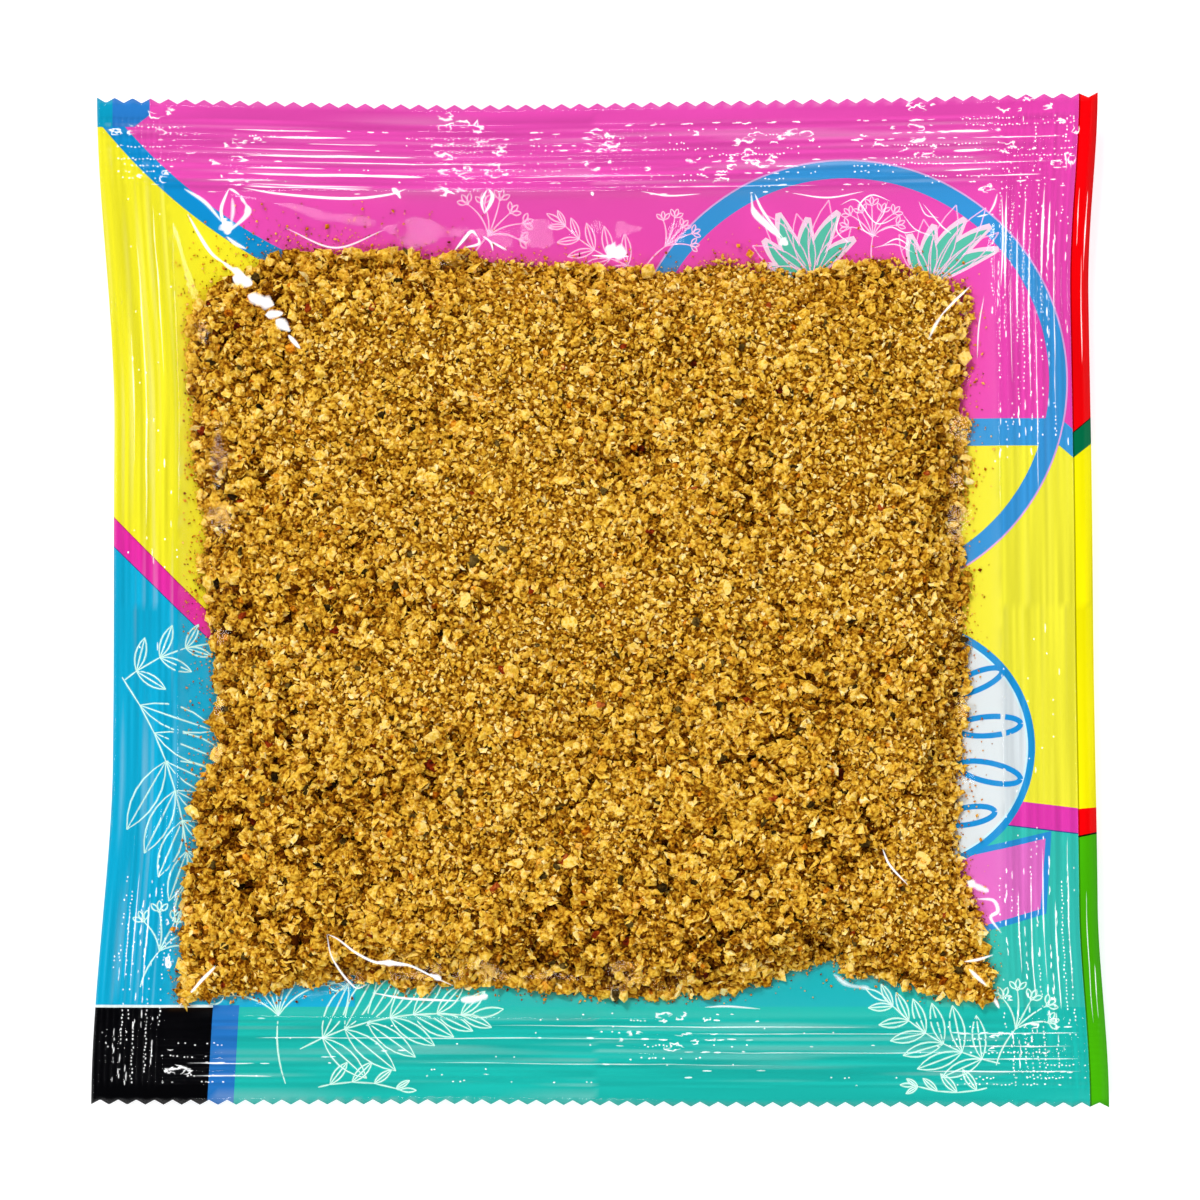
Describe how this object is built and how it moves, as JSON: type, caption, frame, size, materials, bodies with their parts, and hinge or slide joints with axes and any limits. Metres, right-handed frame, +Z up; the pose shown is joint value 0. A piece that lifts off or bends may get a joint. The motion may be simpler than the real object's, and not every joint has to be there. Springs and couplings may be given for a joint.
{
  "type": "pouch of ground cumin",
  "caption": "Small flat pouch of ground cumin, clear film in front and printed film behind, sealed all round with crimped edges and zigzag ends, to lie on a shelf.",
  "frame": {"origin": "bottom centre of the bounding box, on the surface that the belly of the pouch lies on", "axes": "+Z up out of the clear face, the thinnest way; +X to the right and +Y to the top of the clear face"},
  "size_m": [0.112, 0.1116, 0.0082],
  "materials": {
    "clear_film": "clear glossy heat-sealed film",
    "printed_film": "glossy film printed in magenta, yellow, blue and teal fields",
    "ground_cumin": "dry coarse golden brown powder with pale flakes"
  },
  "bodies": {
    "root": {"pouch": "clear_film"}
  },
  "joints": []
}
